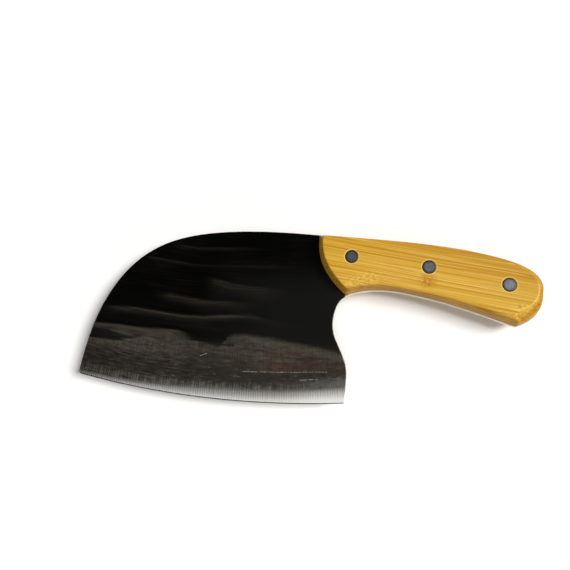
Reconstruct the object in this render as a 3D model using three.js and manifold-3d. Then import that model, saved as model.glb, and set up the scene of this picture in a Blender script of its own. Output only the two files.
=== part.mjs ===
// A broad kitchen cleaver with a full tang, two wooden scales and three two-piece rivets.
// Millimetres. The knife lies flat: +X runs to the butt, +Y to the spine, +Z up out of the upper
// scale. The origin is on the lower scale's outer face, on the line through the outer rivets, behind
// the front one.

import * as THREE from 'three';
import { mergeVertices } from 'three/addons/utils/BufferGeometryUtils.js';
import Module from 'manifold-3d';

// Thicknesses
const SCALE_THICKNESS = 7.75;
const TANG_THICKNESS = 3.5;
const TIP_THICKNESS = 2.8;      // the plate thins evenly from the handle to the tip
const TAPER_LEAD = 2;           // how far ahead of the scales the plate starts to thin

// Cutting edge
const BLADE_LENGTH = 155;       // heel to tip, straight across
const EDGE_RADIUS = 535;
const EDGE_PITCH = 6.3;         // degrees, the tip hangs below the heel by this angle
const HEEL_AHEAD = 9.8;         // heel ahead of the origin
const HEEL_DROP = 78.1;         // heel below the line of the rivets
const TIP_ROUND = 1.5;

// Grinding
const GRIND_HEIGHT = 31;        // above the edge, at the heel
const GRIND_SKEW = 2.5;         // degrees, leaves the plate thicker behind the edge at the heel
const BEVEL_HEIGHT = 7.5;       // above the edge, at the heel
const BEVEL_ANGLE = 5.85;       // degrees, each side
const HONE_HEIGHT = 0.6;
const HONE_ANGLE = 9;           // degrees, each side
const EDGE_WIDTH = 0.1;         // flat left at the very edge

// Outline of blade and tang, as places ahead of or behind the origin and above or below the rivets
const FLARE_AHEAD = 18.6;       // where the heel turns into the choil
const FLARE_DROP = 48.3;
const CHOIL_AHEAD = 24.1;       // deepest point of the choil
const CHOIL_DROP = 33.3;
const COLLAR_AHEAD = 19.5;      // where the scales' front meets the belly
const COLLAR_DROP = 21.2;
const BELLY_BEHIND = 10.4;      // highest point of the belly
const BELLY_DROP = 13.6;
const BUTT_BEHIND = 81.3;       // rearmost point
const BUTT_DROP = 3;
const TOE_INSET = 11.8;         // lower corner of the butt, ahead of the rearmost point
const TOE_DROP = 20.2;
const CROWN_BEHIND = 36.2;      // highest point of the handle
const CROWN_RISE = 15.9;
const SHOULDER_AHEAD = 41.3;    // where the scales' front meets the spine
const SHOULDER_RISE = 10.5;
const BROW_AHEAD = 130.1;       // where the spine turns down to the nose
const BROW_DROP = 10.5;

// Scales: each side leans in from the tang up to the outer face, and its edge is eased
const SIDE_LEAN = 1.8;          // along the belly and the spine
const SIDE_EASE = 0.6;          // how far in over the face the easing reaches
const SIDE_FALL = 0.9;          // how far down the side it reaches
const FRONT_LEAN = 2.9;
const FRONT_EASE = 0.5;
const FRONT_FALL = 0.8;
const ROLL_LEAN = 2.7;          // the belly's two ends, sanded to a gentle slope
const ROLL_EASE = 4.4;
const ROLL_FALL = 1.5;
const FACET_LEAN = 2.6;         // the flat facet on the butt's lower corner
const FACET_EASE = 5.2;
const FACET_FALL = 3.2;
const BUTT_LEAN = 3.2;
const BUTT_EASE = 1.6;
const BUTT_FALL = 2;

// Rivets
const FRONT_RIVET_AHEAD = 20.5;
const REAR_RIVET_INSET = 19.8;  // ahead of the butt
const MIDDLE_RIVET_RISE = 1.8;
const HEAD_DIAMETER = 7;
const HEAD_THICKNESS = 1.6;
const HEAD_SUNK = 0.1;
const TUBE_DIAMETER = 4.6;
const TUBE_SHORT = 2.6;         // gap left between the tube's end and the pin's head
const PIN_DIAMETER = 3.2;
const PIN_SHORT = 2.9;          // gap left between the pin's end and the tube's floor
const PIN_CLEARANCE = 0.05;     // all round, in the tube
const TUBE_FLOOR = 1.2;         // metal left between the tube's bore and its head
const SHANK_CLEARANCE = 0.1;    // all round, in the handle
const HEAD_CLEARANCE = 0.15;
const RIVET_CHAMFER = 0.2;

// Facets
const CURVE_STEPS = 14;
const ROUND_STEPS = 5;
const RIVET_SIDES = 32;
const EDGE_SIDES = 540;         // of a full turn of the edge's circle
const WELD = 1e-5;              // corners closer than this are one
const AMPLE = 4;                // a block that only clears the way is this many times larger

const STEEL = { color: 0x4a4843, roughness: 0.32, metalness: 0.9 };
const WOOD = { color: 0xd6a83f, roughness: 0.42, metalness: 0 };
const RIVET_STEEL = { color: 0x7d8088, roughness: 0.35, metalness: 0.9 };

const HANDLE_THICKNESS = 2 * SCALE_THICKNESS + TANG_THICKNESS;
const MID_Z = HANDLE_THICKNESS / 2;

const wasm = await Module();
wasm.setup();

const radians = THREE.MathUtils.degToRad;

function heading(degrees) {
  return new THREE.Vector2(Math.cos(radians(degrees)), Math.sin(radians(degrees)));
}

// A closed geometry as a solid that can be cut.
function toSolid(geometry) {
  const bare = geometry.clone();
  bare.deleteAttribute('normal');
  bare.deleteAttribute('uv');
  const merged = mergeVertices(bare, WELD);
  const vertProperties = new Float32Array(merged.attributes.position.array);
  const triVerts = new Uint32Array(merged.index.array);
  return new wasm.Manifold(new wasm.Mesh({ numProp: 3, vertProperties, triVerts }));
}

function toGeometry(solid) {
  const mesh = solid.getMesh();
  const geometry = new THREE.BufferGeometry();
  geometry.setAttribute('position', new THREE.BufferAttribute(mesh.vertProperties, 3));
  geometry.setIndex(new THREE.BufferAttribute(mesh.triVerts, 1));
  geometry.computeVertexNormals();
  return geometry;
}

// A turned solid with its axis along Z, from a profile of [radius, z] pairs.
function turned(profile, sides) {
  const points = profile.map(([radius, z]) => new THREE.Vector2(radius, z));
  return new THREE.LatheGeometry(points, sides).rotateX(Math.PI / 2);
}

// A smooth curve between two places. Each end has a heading in degrees and a pull, the length of
// its handle as a share of the straight distance.
function sweep(from, fromHeading, fromPull, to, toHeading, toPull) {
  const span = from.distanceTo(to);
  const leave = from.clone().addScaledVector(heading(fromHeading), span * fromPull);
  const arrive = to.clone().addScaledVector(heading(toHeading), -span * toPull);
  return new THREE.CubicBezierCurve(from, leave, arrive, to);
}

const heel = new THREE.Vector2(-HEEL_AHEAD, -HEEL_DROP);
const tip = heel.clone().addScaledVector(heading(180 + EDGE_PITCH), BLADE_LENGTH);
const flare = new THREE.Vector2(-FLARE_AHEAD, -FLARE_DROP);
const choil = new THREE.Vector2(-CHOIL_AHEAD, -CHOIL_DROP);
const collar = new THREE.Vector2(-COLLAR_AHEAD, -COLLAR_DROP);
const belly = new THREE.Vector2(BELLY_BEHIND, -BELLY_DROP);
const toe = new THREE.Vector2(BUTT_BEHIND - TOE_INSET, -TOE_DROP);
const butt = new THREE.Vector2(BUTT_BEHIND, -BUTT_DROP);
const crown = new THREE.Vector2(CROWN_BEHIND, CROWN_RISE);
const shoulder = new THREE.Vector2(-SHOULDER_AHEAD, SHOULDER_RISE);
const brow = new THREE.Vector2(-BROW_AHEAD, -BROW_DROP);

// Centre of the edge's circle, above the middle of the straight line from tip to heel.
const edgeRise = Math.sqrt(EDGE_RADIUS ** 2 - (BLADE_LENGTH / 2) ** 2);
const edgeCentre = tip.clone().add(heel).multiplyScalar(0.5);
edgeCentre.addScaledVector(heading(90 + EDGE_PITCH), edgeRise);
const edgeAngle = (place) => Math.atan2(place.y - edgeCentre.y, place.x - edgeCentre.x);

const noseEnd = tip.clone().add(new THREE.Vector2(0, TIP_ROUND));
const edgeStartAngle = edgeAngle(tip) + TIP_ROUND / EDGE_RADIUS;

// Headings run round the outline with the material on the left, from heel to tip.
const heelCurve = sweep(heel, 93.4, 0.64, flare, 124.8, 0.39);
const flareCurve = sweep(flare, 124.8, 0.16, choil, 90, 0.5);
const choilCurve = sweep(choil, 90, 0.74, collar, 43.8, 0.14);
const bellyCurve = sweep(collar, 43.8, 0.12, belly, 0, 0.53);
const palmCurve = sweep(belly, 0, 0.4, toe, -8.5, 0.21);
const buttCurve = sweep(toe, 32, 0.19, butt, 90, 0.51);
const crownCurve = sweep(butt, 90, 0.3, crown, 180, 0.69);
const topCurve = sweep(crown, 180, 0.2, shoulder, 185.7, 0.6);
const spineCurve = sweep(shoulder, 185.7, 0.17, brow, 213, 0.33);
const noseCurve = sweep(brow, 213, 0.39, noseEnd, 270, 0.32);
const frontCurve = sweep(shoulder, 276.8, 0.2, collar, 328.5, 0.61);

function bladeShape() {
  const shape = new THREE.Shape();
  shape.curves.push(heelCurve, flareCurve, choilCurve, bellyCurve, palmCurve, buttCurve);
  shape.curves.push(crownCurve, topCurve, spineCurve, noseCurve);
  shape.currentPoint.copy(noseEnd);
  const edgeStart = edgeCentre.clone();
  edgeStart.x += EDGE_RADIUS * Math.cos(edgeStartAngle);
  edgeStart.y += EDGE_RADIUS * Math.sin(edgeStartAngle);
  shape.quadraticCurveTo(tip.x, tip.y, edgeStart.x, edgeStart.y);
  shape.absarc(edgeCentre.x, edgeCentre.y, EDGE_RADIUS, edgeStartAngle, edgeAngle(heel), false);
  return shape;
}

// A double cone of grinding stock: its half thickness falls by slope for each millimetre outwards,
// from halfThickness at the given radius to nothing.
function grindingCone(centre, radius, halfThickness, slope) {
  const room = TANG_THICKNESS;
  const inner = radius - (room - halfThickness) / slope;
  const outer = radius + halfThickness / slope;
  const profile = [[0, -room], [inner, -room], [outer, 0], [inner, room], [0, room]];
  return toSolid(turned(profile, EDGE_SIDES).translate(centre.x, centre.y, MID_Z));
}

// The shape that grinding leaves: a hone, an edge bevel and a long grind on a slightly turned line.
// It spares everything behind the heel, which is the handle.
function groundStock() {
  const honeSlope = Math.tan(radians(HONE_ANGLE));
  const bevelSlope = Math.tan(radians(BEVEL_ANGLE));
  const honeHalf = EDGE_WIDTH / 2 + HONE_HEIGHT * honeSlope;
  const bevelHalf = honeHalf + (BEVEL_HEIGHT - HONE_HEIGHT) * bevelSlope;
  const grindSlope = (TANG_THICKNESS / 2 - bevelHalf) / (GRIND_HEIGHT - BEVEL_HEIGHT);
  const grindCentre = edgeCentre.clone().rotateAround(heel, -radians(GRIND_SKEW));
  const hone = grindingCone(edgeCentre, EDGE_RADIUS - HONE_HEIGHT, honeHalf, honeSlope);
  const bevel = grindingCone(edgeCentre, EDGE_RADIUS - BEVEL_HEIGHT, bevelHalf, bevelSlope);
  const grind = grindingCone(grindCentre, EDGE_RADIUS - BEVEL_HEIGHT, bevelHalf, grindSlope);
  const length = AMPLE * (HEEL_AHEAD + BUTT_BEHIND);
  const handleBlock = new THREE.BoxGeometry(length, AMPLE * HEEL_DROP, AMPLE * TANG_THICKNESS);
  handleBlock.translate(length / 2 - HEEL_AHEAD, 0, MID_Z);
  return hone.intersect(bevel).intersect(grind).add(toSolid(handleBlock));
}

// A wedge that thins the plate towards the tip and clears it from the taper's start backwards.
function taperWedge() {
  const start = -SHOULDER_AHEAD - TAPER_LEAD;
  const slope = (TANG_THICKNESS - TIP_THICKNESS) / 2 / (start - tip.x);
  const front = tip.x - BLADE_LENGTH;
  const rear = BUTT_BEHIND + BLADE_LENGTH;
  const frontHalf = TANG_THICKNESS / 2 + slope * (front - start);
  const rearHalf = TANG_THICKNESS / 2 + slope * (rear - start);
  const side = new THREE.Shape();
  side.moveTo(front, -frontHalf);
  side.lineTo(rear, -rearHalf);
  side.lineTo(rear, rearHalf);
  side.lineTo(front, frontHalf);
  const depth = AMPLE * BLADE_LENGTH;
  const wedge = new THREE.ExtrudeGeometry(side, { depth, bevelEnabled: false });
  return toSolid(wedge.translate(0, 0, -depth / 2).rotateX(Math.PI / 2).translate(0, 0, MID_Z));
}

// The middle rivet is halfway between the outer two.
const rearRivetX = BUTT_BEHIND - REAR_RIVET_INSET;
const rivetPlaces = {
  front: new THREE.Vector2(-FRONT_RIVET_AHEAD, 0),
  middle: new THREE.Vector2((rearRivetX - FRONT_RIVET_AHEAD) / 2, MIDDLE_RIVET_RISE),
  rear: new THREE.Vector2(rearRivetX, 0),
};
const headSeat = HEAD_SUNK + HEAD_THICKNESS;
const tubeFloor = headSeat + TUBE_FLOOR;

// The stepped hole for one rivet, through both scales and the tang.
function rivetBore(place) {
  const wide = HEAD_DIAMETER / 2 + HEAD_CLEARANCE;
  const narrow = TUBE_DIAMETER / 2 + SHANK_CLEARANCE;
  const top = HANDLE_THICKNESS;
  const bore = turned([
    [0, -headSeat], [wide, -headSeat], [wide, headSeat], [narrow, headSeat],
    [narrow, top - headSeat], [wide, top - headSeat], [wide, top + headSeat], [0, top + headSeat],
  ], RIVET_SIDES);
  return toSolid(bore.translate(place.x, place.y, 0));
}

const rivetBores = Object.values(rivetPlaces).map(rivetBore);

function drilled(solid) {
  return rivetBores.reduce((left, bore) => left.subtract(bore), solid);
}

function bladeGeometry() {
  const settings = { depth: TANG_THICKNESS, bevelEnabled: false, curveSegments: CURVE_STEPS };
  const plate = new THREE.ExtrudeGeometry(bladeShape(), settings).translate(0, 0, SCALE_THICKNESS);
  const forged = toSolid(plate).intersect(taperWedge()).intersect(groundStock());
  return toGeometry(drilled(forged));
}

// A crisp of 0 eases an edge to a round, and of 1 to a flat facet.
const sideFinish = { lean: SIDE_LEAN, ease: SIDE_EASE, fall: SIDE_FALL, crisp: 0 };
const frontFinish = { lean: FRONT_LEAN, ease: FRONT_EASE, fall: FRONT_FALL, crisp: 0 };
const rollFinish = { lean: ROLL_LEAN, ease: ROLL_EASE, fall: ROLL_FALL, crisp: 0.6 };
const facetFinish = { lean: FACET_LEAN, ease: FACET_EASE, fall: FACET_FALL, crisp: 1 };
const buttFinish = { lean: BUTT_LEAN, ease: BUTT_EASE, fall: BUTT_FALL, crisp: 0 };

// The scale's sides, anticlockwise from the shoulder. Along a side the finish runs evenly from its
// first to its last.
const scaleSides = [
  { curve: frontCurve, first: frontFinish, last: frontFinish },
  { curve: bellyCurve, first: rollFinish, last: sideFinish },
  { curve: palmCurve, first: sideFinish, last: rollFinish },
  { curve: buttCurve, first: facetFinish, last: buttFinish },
  { curve: crownCurve, first: buttFinish, last: sideFinish },
  { curve: topCurve, first: sideFinish, last: sideFinish },
];

// Height above the tang and distance in from the outline, at a share of the way over the eased edge.
function sectionPoint(finish, share) {
  const angle = share * Math.PI / 2;
  const rise = THREE.MathUtils.lerp(Math.sin(angle), share, finish.crisp);
  const run = THREE.MathUtils.lerp(1 - Math.cos(angle), share, finish.crisp);
  const height = SCALE_THICKNESS - finish.fall * (1 - rise);
  const inset = finish.lean * height / SCALE_THICKNESS + finish.ease * run;
  return { height, inset };
}

const leftOf = (along) => new THREE.Vector2(-along.y, along.x);

// How far a corner moves when the side before it and the side after it move in by their insets.
function cornerMove(before, after) {
  const turn = before.along.cross(after.along);
  const smooth = 0.05;
  if (Math.abs(turn) < smooth) {
    return leftOf(after.along).multiplyScalar(after.inset);
  }
  const move = after.along.clone().multiplyScalar(before.inset);
  return move.addScaledVector(before.along, -after.inset).divideScalar(turn);
}

// One ring of the scale. Each side slides in parallel to the outline, shortened at its two corners.
function scaleRing(section) {
  const ends = scaleSides.map(({ curve, first, last }) => ({
    first: { along: curve.getTangentAt(0), ...section(first) },
    last: { along: curve.getTangentAt(1), ...section(last) },
  }));
  const moves = ends.map(({ first }, side) => cornerMove(ends.at(side - 1).last, first));
  return scaleSides.flatMap(({ curve }, side) => {
    const { first, last } = ends[side];
    const length = curve.getLength();
    const startTrim = moves[side].dot(first.along);
    const endTrim = moves[(side + 1) % moves.length].dot(last.along);
    return Array.from({ length: CURVE_STEPS }, (_, step) => {
      const share = step / CURVE_STEPS;
      const height = THREE.MathUtils.lerp(first.height, last.height, share);
      if (step === 0) {
        const corner = curve.getPointAt(0).add(moves[side]);
        return new THREE.Vector3(corner.x, corner.y, height);
      }
      const run = share + THREE.MathUtils.lerp(startTrim, endTrim, share) / length;
      const inset = THREE.MathUtils.lerp(first.inset, last.inset, share);
      const place = curve.getPointAt(run).addScaledVector(leftOf(curve.getTangentAt(run)), inset);
      return new THREE.Vector3(place.x, place.y, height);
    });
  });
}

// One scale lofted up from the tang through rings that lean in and ease over to the flat face.
function scaleGeometry(upper) {
  const rings = [scaleRing(() => ({ height: 0, inset: 0 }))];
  for (let step = 0; step <= ROUND_STEPS; step += 1) {
    rings.push(scaleRing((finish) => sectionPoint(finish, step / ROUND_STEPS)));
  }
  const count = rings[0].length;
  const last = (rings.length - 1) * count;
  const underside = THREE.ShapeUtils.triangulateShape(rings[0], []);
  const face = THREE.ShapeUtils.triangulateShape(rings.at(-1), []);
  const index = underside.flatMap(([a, b, c]) => [c, b, a]);
  index.push(...face.flat().map((corner) => last + corner));
  for (let level = 0; level < rings.length - 1; level += 1) {
    for (let at = 0; at < count; at += 1) {
      const low = level * count + at;
      const lowNext = level * count + (at + 1) % count;
      index.push(low, lowNext, lowNext + count, low, lowNext + count, low + count);
    }
  }
  const geometry = new THREE.BufferGeometry().setFromPoints(rings.flat());
  geometry.setIndex(index);
  geometry.translate(0, 0, TANG_THICKNESS / 2);
  if (!upper) {
    geometry.scale(1, 1, -1);
    geometry.setIndex(index.toReversed());
  }
  geometry.translate(0, 0, MID_Z);
  return toGeometry(drilled(toSolid(geometry)));
}

// The solid half of a rivet, head up.
function pinGeometry() {
  const head = HEAD_DIAMETER / 2;
  const shank = PIN_DIAMETER / 2;
  const top = HANDLE_THICKNESS - HEAD_SUNK;
  const seat = HANDLE_THICKNESS - headSeat;
  const end = tubeFloor + PIN_SHORT;
  return turned([
    [0, end], [shank - RIVET_CHAMFER, end], [shank, end + RIVET_CHAMFER], [shank, seat],
    [head, seat], [head, top - RIVET_CHAMFER], [head - RIVET_CHAMFER, top], [0, top],
  ], RIVET_SIDES);
}

// The tubular half of a rivet, head down.
function tubeGeometry() {
  const head = HEAD_DIAMETER / 2;
  const shank = TUBE_DIAMETER / 2;
  const bore = PIN_DIAMETER / 2 + PIN_CLEARANCE;
  const end = HANDLE_THICKNESS - headSeat - TUBE_SHORT;
  return turned([
    [0, HEAD_SUNK], [head - RIVET_CHAMFER, HEAD_SUNK], [head, HEAD_SUNK + RIVET_CHAMFER],
    [head, headSeat], [shank, headSeat], [shank, end], [bore, end], [bore, tubeFloor], [0, tubeFloor],
  ], RIVET_SIDES);
}

const knife = new THREE.Group();

function addPiece(name, geometry, finish, place = new THREE.Vector2()) {
  const piece = new THREE.Mesh(geometry, new THREE.MeshStandardMaterial(finish));
  piece.name = name;
  piece.position.set(place.x, place.y, 0);
  knife.add(piece);
}

addPiece('blade', bladeGeometry(), STEEL);
addPiece('upper_scale', scaleGeometry(true), WOOD);
addPiece('lower_scale', scaleGeometry(false), WOOD);
for (const [name, place] of Object.entries(rivetPlaces)) {
  addPiece(`${name}_rivet_pin`, pinGeometry(), RIVET_STEEL, place);
  addPiece(`${name}_rivet_tube`, tubeGeometry(), RIVET_STEEL, place);
}

export default knife;
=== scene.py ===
import math
from types import SimpleNamespace

import bpy
import numpy as np
from mathutils import Matrix, Vector


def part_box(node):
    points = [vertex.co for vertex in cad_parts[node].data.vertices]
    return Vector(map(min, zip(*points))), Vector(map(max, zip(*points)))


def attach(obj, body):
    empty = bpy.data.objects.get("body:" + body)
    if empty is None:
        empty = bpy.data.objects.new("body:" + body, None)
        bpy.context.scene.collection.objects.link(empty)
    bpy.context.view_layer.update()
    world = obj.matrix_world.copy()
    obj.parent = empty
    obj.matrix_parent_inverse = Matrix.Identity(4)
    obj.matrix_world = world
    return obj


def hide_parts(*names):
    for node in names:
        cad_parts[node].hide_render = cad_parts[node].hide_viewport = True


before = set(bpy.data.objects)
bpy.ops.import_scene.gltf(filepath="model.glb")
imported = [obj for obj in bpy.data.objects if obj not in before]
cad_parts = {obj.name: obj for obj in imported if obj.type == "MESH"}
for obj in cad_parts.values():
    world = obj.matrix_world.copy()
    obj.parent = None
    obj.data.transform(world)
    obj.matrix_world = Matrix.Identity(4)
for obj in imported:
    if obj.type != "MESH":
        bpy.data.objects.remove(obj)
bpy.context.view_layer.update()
mm = 0.001  # sizes below are in millimetres, and meshes are made in metres
print("frame loaded with", len(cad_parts), "solids")

midZ = (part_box("blade")[0].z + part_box("blade")[1].z) / 2 / mm
tangHalf = (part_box("blade")[1].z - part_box("blade")[0].z) / 2 / mm
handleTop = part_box("upper_scale")[1].z / mm
scaleHeight = handleTop - midZ - tangHalf


# Curves in the plane of the blade

def heading(degrees):
    return np.array([math.cos(math.radians(degrees)), math.sin(math.radians(degrees))])


def chain(*curves):
    return np.concatenate([curves[0]] + [curve[1:] for curve in curves[1:]])


def lengthOf(curve):
    return np.linalg.norm(np.diff(curve, axis=0), axis=1).sum()


def walk(curve, shares):
    # the points at these shares of the curve's length
    steps = np.linalg.norm(np.diff(curve, axis=0), axis=1)
    along = np.concatenate([[0], np.cumsum(steps)])
    return np.stack([np.interp(shares * along[-1], along, column) for column in curve.T], axis=-1)


def spread(knots, counts):
    # shares from 0 to 1, evenly spaced in each stretch between two knots
    return np.interp(np.arange(sum(counts) + 1), np.concatenate([[0], np.cumsum(counts)]), knots)


def unit(steps):
    return steps / np.linalg.norm(steps, axis=-1, keepdims=True)


def leftOf(steps):
    # unit vectors square to these, on their left, which is inside an anticlockwise loop
    return unit(np.stack([-steps[..., 1], steps[..., 0]], axis=-1))


def patch(bottom, top, left, right, u, v):
    # grid between four sides: both ruled surfaces added, less the one through the four corners
    u, v = u[None, :, None], v[:, None, None]
    ruled = (1 - v) * bottom[None] + v * top[None] + (1 - u) * left[:, None] + u * right[:, None]
    low = (1 - u) * bottom[0] + u * bottom[-1]
    high = (1 - u) * top[0] + u * top[-1]
    return ruled - (1 - v) * low - v * high


def smooth(x, low, high):
    t = np.clip((x - low) / (high - low), 0, 1)
    return t * t * (3 - 2 * t)


# Meshes and objects

creaseAngle = math.radians(40)  # sharper edges stay crisp


def gridFaces(index):
    corners = [index[:-1, :-1], index[:-1, 1:], index[1:, 1:], index[1:, :-1]]
    return np.stack(corners, axis=-1).reshape(-1, 4)


def loopFaces(rings):
    # quads between rings of vertices, each ring closed on itself, facing out of an anticlockwise loop
    after = np.roll(rings, -1, axis=1)
    return np.stack([rings[:-1], rings[1:], after[1:], after[:-1]], axis=-1).reshape(-1, 4)


def newMesh(name, points, faces):
    mesh = bpy.data.meshes.new(name)
    mesh.from_pydata(points, [], faces)
    return mesh


def addObject(name, data):
    made = bpy.data.objects.new(name, data)
    bpy.context.scene.collection.objects.link(made)
    return made


def shade(mesh):
    mesh.shade_smooth()
    mesh.set_sharp_from_angle(angle=creaseAngle)


def makePiece(name, points, faces, material, replaced, values):
    mesh = newMesh(name, points * mm, faces)
    for label, numbers in values.items():
        attribute = mesh.attributes.new(label, "FLOAT", "POINT")
        attribute.data.foreach_set("value", numbers.astype(np.float32))
    shade(mesh)
    mesh.materials.append(material)
    piece = addObject(name, mesh)
    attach(piece, "root")
    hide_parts(replaced)
    return piece


# Shader maths: a Wire is a socket, and sums on it add Math nodes

class Wire:
    def __init__(self, sheet, socket):
        self.sheet = sheet
        self.socket = socket

    def math(self, operation, *others):
        return self.sheet.node("Math", {"operation": operation}, dict(enumerate((self, *others))))

    def __add__(self, other):
        return self.math("ADD", other)

    def __sub__(self, other):
        return self.math("SUBTRACT", other)

    def __rsub__(self, other):
        return self.sheet.node("Math", {"operation": "SUBTRACT"}, {0: other, 1: self})

    def __mul__(self, other):
        return self.math("MULTIPLY", other)

    def __pow__(self, other):
        return self.math("POWER", other)

    __radd__ = __add__
    __rmul__ = __mul__


class Sheet:
    def __init__(self, holder, shader="Principled BSDF"):
        # the holder is a new material, or the world
        holder.use_nodes = True
        self.holder = holder
        self.tree = holder.node_tree
        self.shader = self.tree.nodes[shader]

    def node(self, kind, settings=None, sockets=None, out=0):
        # settings first: some of them change the sockets
        made = self.tree.nodes.new("ShaderNode" + kind)
        for key, value in (settings or {}).items():
            if key == "stops":
                self.fillRamp(made.color_ramp.elements, value)
            else:
                setattr(made, key, value)
        for key, value in (sockets or {}).items():
            self.feed(made.inputs[key], value)
        if isinstance(out, tuple):
            return [Wire(self, made.outputs[label]) for label in out]
        return Wire(self, made.outputs[out])

    def fillRamp(self, elements, stops):
        for spare in range(len(stops) - len(elements)):
            elements.new(0.5)
        for element, (position, colour) in zip(elements, stops):
            element.position = position
            element.color = (*colour, 1)

    def feed(self, socket, value):
        if isinstance(value, Wire):
            self.tree.links.new(value.socket, socket)
        else:
            socket.default_value = (*value, 1) if socket.type == "RGBA" else value

    def set(self, values):
        for key, value in values.items():
            self.feed(self.shader.inputs[key], value)

    def value(self, label):
        return self.node("Attribute", {"attribute_name": label}, out="Fac")

    def place(self):
        # Object coordinates in millimetres
        spot = self.node("TexCoord", out="Object")
        scaled = self.node("VectorMath", {"operation": "SCALE"}, {0: spot, "Scale": 1 / mm})
        return self.node("SeparateXYZ", sockets={0: scaled}, out=("X", "Y", "Z"))

    def vector(self, x, y, z):
        return self.node("CombineXYZ", sockets={0: x, 1: y, 2: z})

    def noise(self, x, y, z, detail=3.0, rough=0.55):
        sockets = {"Vector": self.vector(x, y, z), "Scale": 1.0, "Detail": detail, "Roughness": rough}
        return self.node("TexNoise", sockets=sockets)

    def step(self, value, low, high):
        # from 0 at low to 1 at high, eased at both ends
        return self.node("MapRange", {"interpolation_type": "SMOOTHSTEP"}, {0: value, 1: low, 2: high})

    def mix(self, share, first, second):
        # 6, 7 and 2 are the Mix node's colour sockets
        return self.node("Mix", {"data_type": "RGBA"}, {0: share, 6: first, 7: second}, out=2)

    def layers(self, colour, tones, rows):
        # each row's tone is laid over the ones before it, by its share
        for share, tone in rows:
            colour = self.mix(share, colour, tones[tone])
        return colour

    def bump(self, height, strength):
        # height in millimetres
        return self.node("Bump", sockets={"Strength": strength, "Distance": mm, "Height": height})


# Outline of the knife, in millimetres from the origin

places = {
    "heel": (-9.8, -78.1), "flare": (-18.6, -48.3), "choil": (-24.1, -33.3), "collar": (-19.5, -21.2),
    "belly": (10.4, -13.6), "toe": (69.5, -20.2), "butt": (81.3, -3.0), "crown": (36.2, 15.9),
    "shoulder": (-41.3, 10.5), "brow": (-130.1, -10.5),
}
edge = {"length": 155, "radius": 535, "pitch": 6.3, "tipRound": 1.5, "steps": 800, "tipSteps": 40}

heelPlace = np.array(places["heel"])
tipPlace = heelPlace + heading(180 + edge["pitch"]) * edge["length"]
noseEnd = tipPlace + (0, edge["tipRound"])
centreRise = math.sqrt(edge["radius"] ** 2 - (edge["length"] / 2) ** 2)
edgeCentre = (tipPlace + heelPlace) / 2 + heading(90 + edge["pitch"]) * centreRise


def edgeAngle(spots):
    return np.arctan2(spots[..., 1] - edgeCentre[1], spots[..., 0] - edgeCentre[0])


edgeStart = edgeAngle(tipPlace) + edge["tipRound"] / edge["radius"]
arcAngles = np.linspace(edgeStart, edgeAngle(heelPlace), edge["steps"] + 1)
edgeCurve = edgeCentre + edge["radius"] * np.stack([np.cos(arcAngles), np.sin(arcAngles)], axis=1)
tipShare = np.linspace(0, 1, edge["tipSteps"] + 1)[:, None]
tipRest = 1 - tipShare
tipCurve = tipRest ** 2 * noseEnd + 2 * tipRest * tipShare * tipPlace + tipShare ** 2 * edgeCurve[0]

curveSteps = 240
places["nose"] = noseEnd


def sweep(start, startHeading, startPull, end, endHeading, endPull):
    # cubic curve between two places, its handles a pull times their distance, along each end's heading
    start, end = np.array(places[start], float), np.array(places[end], float)
    span = np.linalg.norm(end - start)
    leave = start + heading(startHeading) * span * startPull
    arrive = end - heading(endHeading) * span * endPull
    t = np.linspace(0, 1, curveSteps + 1)[:, None]
    rest = 1 - t
    return rest ** 3 * start + 3 * rest ** 2 * t * leave + 3 * rest * t ** 2 * arrive + t ** 3 * end


heelCurve = sweep("heel", 93.4, 0.64, "flare", 124.8, 0.39)
flareCurve = sweep("flare", 124.8, 0.16, "choil", 90, 0.5)
choilCurve = sweep("choil", 90, 0.74, "collar", 43.8, 0.14)
bellyCurve = sweep("collar", 43.8, 0.12, "belly", 0, 0.53)
palmCurve = sweep("belly", 0, 0.4, "toe", -8.5, 0.21)
buttCurve = sweep("toe", 32, 0.19, "butt", 90, 0.51)
crownCurve = sweep("butt", 90, 0.3, "crown", 180, 0.69)
topCurve = sweep("crown", 180, 0.2, "shoulder", 185.7, 0.6)
spineCurve = sweep("shoulder", 185.7, 0.17, "brow", 213, 0.33)
noseCurve = sweep("brow", 213, 0.39, "nose", 270, 0.32)
frontCurve = sweep("shoulder", 276.8, 0.2, "collar", 328.5, 0.61)


# Blade: a plate between its outline's sides, ground thin towards the edge and waved by forging

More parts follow.
